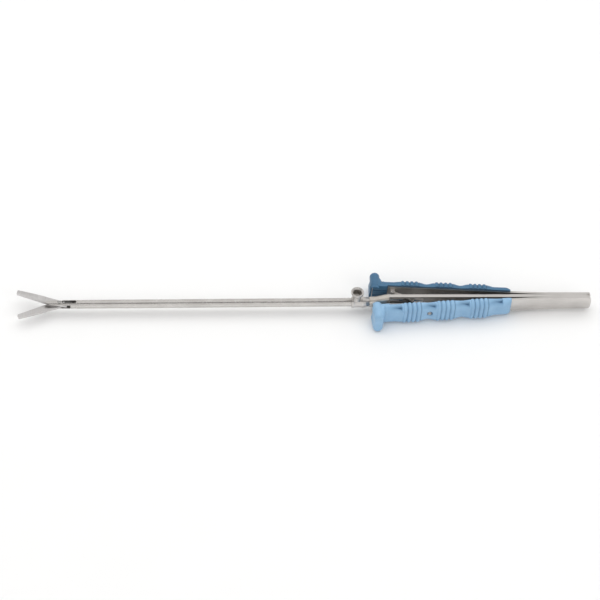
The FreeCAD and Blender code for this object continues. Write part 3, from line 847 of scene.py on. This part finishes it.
@dataclass
class Grip:
    """A moulded grip: a channel over the strap with rib groups, scoops and a finger guard."""

    workshop: Workshop
    side: Side
    strap: Strap
    front: float = -98.9
    length: float = 81.0
    half: float = 6.45
    low: float = -0.1
    crest: float = 4.2
    corner: float = 2.7
    wall_half: float = 5.5
    strap_top: float = 0.62
    hollow: float = 0.85
    front_hollow: float = 0.45
    rear_round: float = 3.0
    rear_fall: float = 2.2
    group_place: float = 22.6
    spacing: float = 19.6
    groups: int = 3
    ribs: int = 4
    pitch: float = 2.64
    rise: float = 0.6
    rib_half: float = 0.33
    notch_half: float = 0.17
    scoop_length: float = 10.5
    scoop_depth: float = 2.5
    scoop_width: float = 1.7
    screw_place: float = -65.6
    seat_radius: float = 1.3
    seat_slope: float = 0.5
    seat_depth: float = 0.9
    guard_place: float = -96.3
    guard_top: float = 9.1
    guard_half: float = 7.0
    guard_round: float = 1.7
    bulb: float = 2.8
    stem: float = 2.4
    web_height: float = 4.4
    web_length: float = 3.6
    crease_behind: float = 4.1
    crease_width: float = 0.5
    crease_depth: float = 0.5
    ear_low: float = -2.1
    ear_height: float = 3.4
    ear_inside: float = 5.6
    ear_edge: float = 0.55
    cap_length: float = 8.6
    cap_ahead: float = 1.2
    cap_wrap: tuple = (-6.25, 6.25, -0.68, 0.5)
    cap_bars: tuple = ((2.5, 6.32), (-1.7, 1.9), (-6.32, -2.3))
    cap_edge: float = 0.09
    fine_step: float = 0.19
    coarse_step: float = 0.5
    outer_points: int = 90
    inner_points: int = 10
    guard_points: int = 72
    guard_levels: tuple = (-0.1, 0.8, 2.4, 4.0, 5.4, 6.6)

    def middles(self) -> list[float]:
        """The middles of the rib groups along the arm."""
        first = self.front + self.group_place
        return [first + index * self.spacing for index in range(self.groups)]

    def rib(self, x: float) -> float:
        """How far the ribs stand out at a place, from 0 to 1.

        Args:
            x: The place along the arm in millimetres.

        Returns:
            1 on a rib's crest and 0 between ribs.
        """
        for middle in self.middles():
            offset = (x - middle) / self.pitch + self.ribs / 2
            if 0.0 <= offset <= self.ribs:
                across = abs(offset % 1.0 - 0.5) / self.rib_half
                return max(0.0, 1.0 - across ** 3) ** 0.5
        return 0.0

    def notch(self, x: float) -> float:
        """How near a place is to a border between ribs, from 0 to 1, which the grip paints as shade.

        Args:
            x: The place along the arm in millimetres.

        Returns:
            1 at the border and 0 away from it.
        """
        for middle in self.middles():
            offset = (x - middle) / self.pitch + self.ribs / 2
            if 0.5 < offset < self.ribs + 0.3:
                return max(0.0, 1.0 - abs(offset - round(offset)) / self.notch_half)
        return 0.0

    def seat(self, x: float, z: float) -> float:
        """How far the screw's seat is sunk at a place, from 0 to 1.

        Args:
            x: The place along the arm in millimetres.
            z: The place across the arm in millimetres.

        Returns:
            1 on the seat's floor and 0 beyond its slope.
        """
        out = (math.hypot(x - self.screw_place, z) - self.seat_radius) / self.seat_slope
        return smooth_share(min(max(1.0 - out, 0.0), 1.0))

    def wave(self, x: float) -> float:
        """How far the body is drawn in between the rib groups, from 0 to 1.

        Args:
            x: The place along the arm in millimetres.

        Returns:
            1 midway between two groups and 0 under a group.
        """
        reach = self.ribs * self.pitch / 2
        gap = min(abs(x - middle) for middle in self.middles()) - reach
        span = self.spacing / 2 - reach
        drawn = 0.5 - 0.5 * math.cos(math.pi * min(max(gap / span, 0.0), 1.0))
        return drawn * self.front_hollow if x < self.middles()[0] else drawn

    def scoop(self, x: float) -> float:
        """The depth of the scoops along one corner, which end at the next rib group.

        Args:
            x: The place along the arm in millimetres.

        Returns:
            The depth in millimetres.
        """
        reach = self.ribs * self.pitch / 2 + 0.5
        for middle in self.middles() + [self.middles()[-1] + self.spacing]:
            ahead = middle - reach - x
            if 0.0 <= ahead <= self.scoop_length:
                swell = (1.0 - ahead / self.scoop_length) ** 1.5
                return self.scoop_depth * swell * min(1.0, ahead / 0.4)
        return 0.0

    def ends(self, x: float) -> tuple[float, float]:
        """The web behind the guard and the rounding of the rear end, in millimetres.

        Args:
            x: The place along the arm in millimetres.

        Returns:
            How high the web stands and how far the rear end has fallen.
        """
        behind = x - (self.guard_place + self.stem)
        web = self.web_height * max(0.0, 1.0 - max(behind, 0.0) / self.web_length) ** 2
        left = self.front + self.length - x
        if left > self.rear_round:
            return web, 0.0
        round_share = math.sqrt(max(0.0, 1 - (1 - left / self.rear_round) ** 2))
        return web, self.rear_fall * (1.0 - round_share)

    def outline(self, along: float, half: float, top: float) -> tuple[float, float, tuple]:
        """A point of the plain outline, from its low edge round one corner to the middle.

        Args:
            along: How far round the outline it lies, in millimetres.
            half: Half the grip's width at this place.
            top: The grip's outward height at this place.

        Returns:
            Its outward distance, its Z distance and the direction out of the surface.
        """
        corner = min(self.corner, top - self.low - 0.2)
        side_run = top - corner - self.low
        arc = math.pi * corner / 2
        if along < side_run:
            return self.low + along, half, (0.0, 1.0)
        if along < side_run + arc:
            turn = (along - side_run) / corner
            out = (math.sin(turn), math.cos(turn))
            return top - corner + corner * out[0], half - corner + corner * out[1], out
        return top, side_run + arc + half - corner - along, (1.0, 0.0)

    def channel(self, half: float) -> list[tuple[float, float, float]]:
        """The inside of the section, which lies on the strap and clasps its edges.

        Args:
            half: Half the grip's width at this place.

        Returns:
            Points as outward distance, Z distance and depth of shade.
        """
        inner = min(self.wall_half, half - 0.35)
        run = self.strap_top - self.low
        points = []
        for index in range(self.inner_points):
            share = index / (self.inner_points - 1)
            along = (0.12 + 0.76 * share) * (2 * run + 2 * inner)
            if along < run:
                points.append((self.low + along, inner, 0.0))
            elif along < run + 2 * inner:
                points.append((self.strap_top, inner - (along - run), 0.0))
            else:
                points.append((self.strap_top - (along - run - 2 * inner), -inner, 0.0))
        return points

    def section(self, x: float) -> list[tuple[float, float, float]]:
        """The grip's outline across the arm.

        Args:
            x: The place along the arm in millimetres.

        Returns:
            Points as outward distance, Z distance and depth of shade in the creases.
        """
        web, fall = self.ends(x)
        drawn = self.wave(x) * self.hollow
        half = self.half - drawn * 0.35 - fall * 0.25
        top = self.crest - drawn - fall
        corner = min(self.corner, top - self.low - 0.2)
        side_run = top - corner - self.low
        arc = math.pi * corner / 2
        total = 2 * (side_run + arc + half - corner)
        behind = (x - self.guard_place - self.crease_behind) / self.crease_width
        crease = self.crease_depth * math.exp(-behind ** 2)
        points = []
        for index in range(self.outer_points):
            along = index / (self.outer_points - 1) * total
            mirrored = min(along, total - along)
            sign = -1.0 if along < total / 2 else 1.0
            y, z, (up, aside) = self.outline(mirrored, half, top)
            off_corner = (mirrored - side_run - arc * 0.4) / self.scoop_width
            cut = self.scoop(x) * math.exp(-off_corner ** 2) if sign < 0 else 0.0
            cut += crease * min(1.0, max(0.0, (mirrored - 0.8) / 1.5))
            out = self.rib(x) * self.rise - cut
            lift = sunk = 0.0
            if y > top - corner:
                lift = web * max(0.0, 1.0 - (z / half) ** 6)
                sunk = self.seat(x, z)
            # Painted shade: darker colour at the borders between ribs, in the scoops and the crease behind
            # the guard, and on the screw's seat floor.
            shade = min(1.0, self.notch(x) * 0.75 + cut * 0.38 + sunk)
            points.append((y + up * out + lift - sunk * self.seat_depth,
                           sign * (z + aside * out), shade))
        return points + self.channel(half)

    def stations(self) -> list[float]:
        """Choose the places where the grip's section is drawn.

        Returns:
            Places along the arm, close together at the ribs, the ends and the screw.
        """
        reach = self.ribs * self.pitch / 2 + 0.6
        places = []
        x = self.guard_place
        rear = self.front + self.length
        while x < rear - 0.02:
            places.append(x)
            near_ribs = min(abs(x - middle) for middle in self.middles()) < reach
            near_end = rear - x < 3.2 or x < self.guard_place + 6.5
            near_screw = abs(x - self.screw_place) < 2.3
            fine = near_ribs or near_end or near_screw
            x += self.fine_step if fine else self.coarse_step
        return places + [rear - 0.01]

    def loft(self, shape: bmesh.types.BMesh) -> None:
        """Draw the channel by extruding its end face from station to station.

        Args:
            shape: The grip's mesh, which it is added to.
        """
        face = marked_disc(shape, self.outer_points + self.inner_points)
        mark = shape.verts.layers.int["ring"]
        groove = shape.verts.layers.float["groove"]
        for step, x in enumerate(self.stations()):
            if step:
                face = draw_out(shape, face, step == 1)
            points = self.section(x)
            for vert in face.verts:
                y, z, vert[groove] = points[vert[mark]]
                vert.co = (x, y, z)

    def guard_outline(self, turn: float) -> tuple[float, float]:
        """A point of the guard seen from outside: two bulbs joined by a narrower stem.

        Args:
            turn: The point's angle round the guard in radians.

        Returns:
            Its distance along the arm and its Z distance, in millimetres.
        """
        reach = self.guard_half - self.bulb
        z = self.guard_half * math.sin(turn)
        if abs(z) > reach:
            width = math.sqrt(max(0.0, self.bulb ** 2 - (abs(z) - reach) ** 2))
        else:
            width = self.stem + (self.bulb - self.stem) * smooth_share(abs(z) / reach)
        return math.copysign(width, math.cos(turn)), z

    def make_guard(self, shape: bmesh.types.BMesh) -> None:
        """Raise the guard from its foot to its rounded outer end.

        Args:
            shape: The grip's mesh, which it is added to.
        """
        face = marked_disc(shape, self.guard_points)
        mark = shape.verts.layers.int["ring"]
        shoulder = self.guard_top - self.guard_round
        levels = list(self.guard_levels)
        levels += [self.guard_top - self.guard_round * (1 - math.sin(math.pi / 2 * step / 7))
                   for step in range(8)]
        for step, y in enumerate(levels):
            if step:
                face = draw_out(shape, face, step == 1)
            into = max(0.0, (y - shoulder) / self.guard_round)
            inset = self.guard_round * 0.8 * (1 - math.sqrt(max(0.0, 1 - into * into)))
            keep = 1 - inset / self.guard_half
            slim = max(0.1, 1 - inset / self.bulb)
            for vert in face.verts:
                wide, z = self.guard_outline((vert[mark] + 0.5) / self.guard_points * math.tau)
                vert.co = (self.guard_place + wide * slim, y, z * keep)

    def make_ears(self, shape: bmesh.types.BMesh) -> None:
        """Bring the guard's two ends inwards past the strap's edges.

        Args:
            shape: The grip's mesh, which it is added to.
        """
        reach = self.guard_half - self.bulb
        for sign in (-1.0, 1.0):
            ring = bmesh.ops.create_circle(shape, cap_ends=True, segments=40,
                                           radius=self.bulb - 0.15)["verts"]
            for vert in ring:
                z = sign * max(vert.co.y + reach, self.ear_inside)
                vert.co = (self.guard_place + vert.co.x, self.ear_low, z)
            bmesh.ops.remove_doubles(shape, verts=ring, dist=0.01)
            face = next(vert for vert in ring if vert.is_valid).link_faces[0]
            rim = list(face.edges)
            made = bmesh.ops.extrude_face_region(shape, geom=[face])["geom"]
            top = [item for item in made if isinstance(item, bmesh.types.BMVert)]
            bmesh.ops.translate(shape, verts=top, vec=(0.0, self.ear_height, 0.0))
            bmesh.ops.bevel(shape, geom=rim, offset=self.ear_edge, segments=4, profile=0.5,
                            affect="EDGES", clamp_overlap=True, material=-1)

    def make_cap(self, shape: bmesh.types.BMesh) -> None:
        """Wrap the strap's front end, with two shallow grooves along the inner face.

        Args:
            shape: The grip's mesh, which it is added to.
        """
        groove = shape.verts.layers.float["groove"]
        middle = self.guard_place + self.cap_length / 2 - self.cap_ahead
        # The wrap carries painted shade (0.9) and the raised bars none, so the lines between the bars read
        # dark.
        blocks = [(*self.cap_wrap, self.cap_length, 0.9)]
        blocks += [(low, high, -0.82, 0.3, self.cap_length - 0.5, 0.0)
                   for low, high in self.cap_bars]
        for low, high, inner, outer, length, shade in blocks:
            made = bmesh.ops.create_cube(shape, size=1.0)["verts"]
            place = Matrix.Translation((middle, (inner + outer) / 2, (low + high) / 2))
            size = Matrix.Diagonal((length, outer - inner, high - low, 1.0))
            bmesh.ops.transform(shape, matrix=place @ size, verts=made)
            for vert in made:
                vert[groove] = shade
            edges = list(dict.fromkeys(edge for vert in made for edge in vert.link_edges))
            bmesh.ops.bevel(shape, geom=edges, offset=self.cap_edge, segments=2, profile=0.5,
                            affect="EDGES", clamp_overlap=True, material=-1)

    def build(self) -> None:
        """Build the grip and its screw."""
        shape = bmesh.new()
        shape.verts.layers.int.new("ring")
        shape.verts.layers.float.new("groove")
        self.loft(shape)
        self.make_guard(shape)
        self.make_ears(shape)
        self.make_cap(shape)
        shape.transform(self.side.place(self.strap.bend, self.strap.middle, -self.strap.angle))
        name = self.side.value
        self.workshop.finish(shape, f"{name}_moulded_grip", self.side.finish, self.side.body,
                             (f"{name}_grip",), corner=50.0)
        self.workshop.ease(f"{name}_grip_screw", self.side.body, 0.1)


def dress_nodes(frame: dict, finishes: Finishes) -> None:
    """Give every carried-over node its finish.

    Args:
        frame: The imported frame.
        finishes: The materials by slot.
    """
    for name in frame["nodes"]:
        piece = bpy.data.objects.get(name)
        if piece is not None:
            finishes.dress(piece, slot_of(frame, name))
            LOG.info("dressed %s", name)


def main() -> None:
    """Build the scene."""
    logging.basicConfig(level=logging.INFO)
    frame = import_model()
    low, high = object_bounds()
    bpy.context.scene.view_settings.view_transform = "Standard"
    studio = Studio()
    studio.make_camera()
    studio.make_floor(low.z)
    studio.make_room()
    studio.make_light()
    finishes = Finishes()
    dress_nodes(frame, finishes)
    workshop = Workshop(frame, finishes)
    Shaft(workshop).build()
    for side in Side:
        strap = Strap(workshop, side)
        strap.build()
        Grip(workshop, side, strap).build()
    low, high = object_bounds()


if __name__ == "__main__":
    main()
